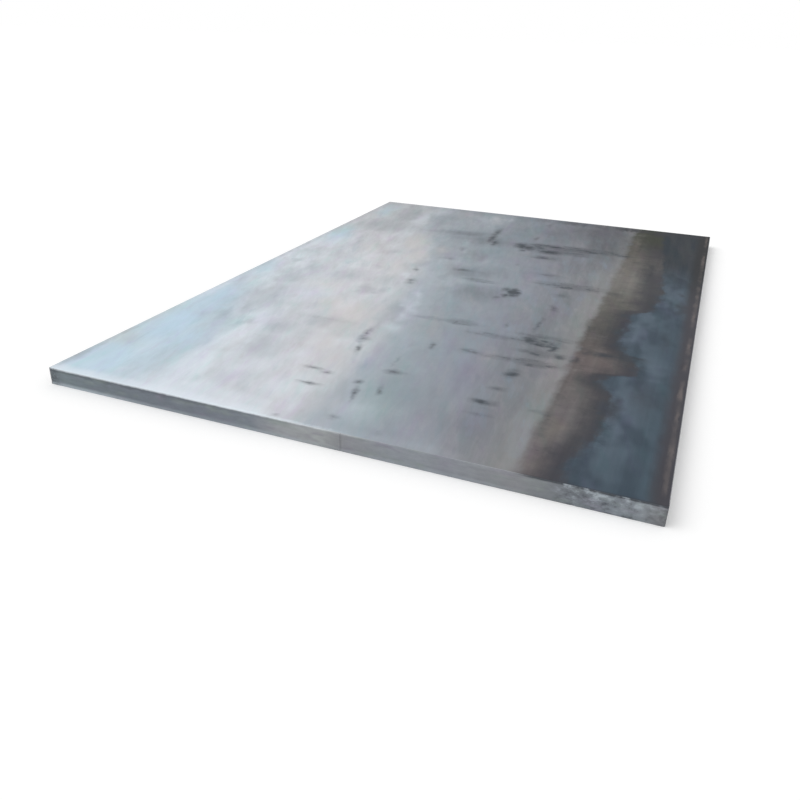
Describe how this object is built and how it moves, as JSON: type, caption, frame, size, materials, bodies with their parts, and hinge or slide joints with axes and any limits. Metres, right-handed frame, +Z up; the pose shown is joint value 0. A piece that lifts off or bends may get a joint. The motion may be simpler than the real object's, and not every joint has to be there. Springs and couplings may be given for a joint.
{
  "type": "steel plate",
  "caption": "Thick rectangular hot-rolled steel plate lying flat, square-cut by torch, with grey and blue mill scale on its faces.",
  "frame": {"origin": "centre of the plate's underside, on the floor", "axes": "+Z up through the thickness, +Y along the rolling direction and the length, +X across the width"},
  "size_m": [2, 3, 0.06],
  "materials": {
    "rolled_steel": "satin"
  },
  "bodies": {
    "root": {"plate": "rolled_steel"}
  },
  "joints": []
}
